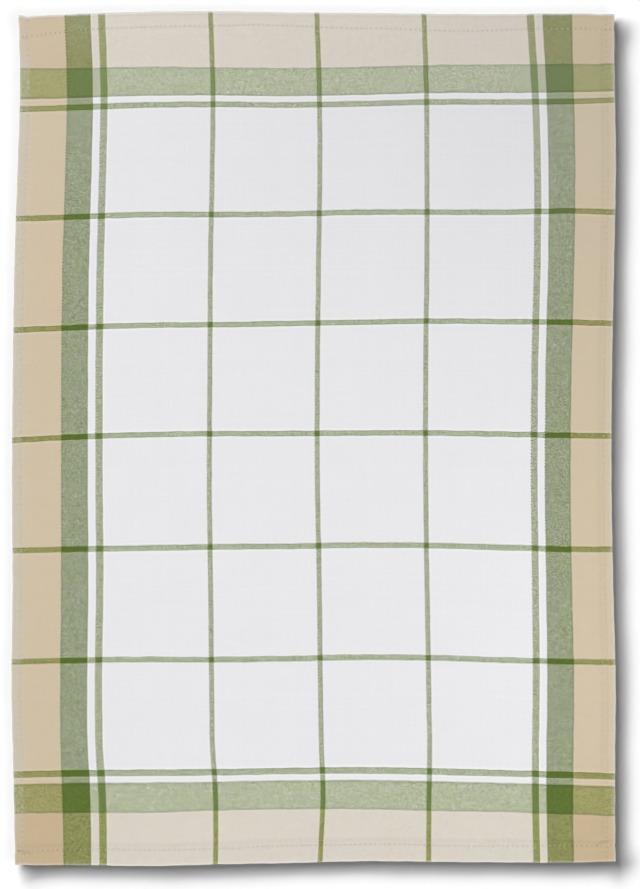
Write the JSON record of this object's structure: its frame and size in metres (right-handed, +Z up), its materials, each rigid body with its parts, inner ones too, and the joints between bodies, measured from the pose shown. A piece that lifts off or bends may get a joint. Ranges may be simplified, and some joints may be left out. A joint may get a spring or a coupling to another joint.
{
  "type": "tea towel",
  "caption": "Flat rectangular woven cotton tea towel with turned and stitched hems, in a white and green check with beige borders.",
  "frame": {"origin": "middle of the underside's bounding box, on the surface the towel lies on", "axes": "+Y towards the towel's top end, along its length; +X towards its right side; +Z up, out of its face"},
  "size_m": [0.502, 0.709, 0.003],
  "materials": {
    "cloth": "matt yarn-dyed plain weave cotton, white with beige borders and green bands and check"
  },
  "bodies": {
    "root": {"tea_towel": "cloth"}
  },
  "joints": []
}
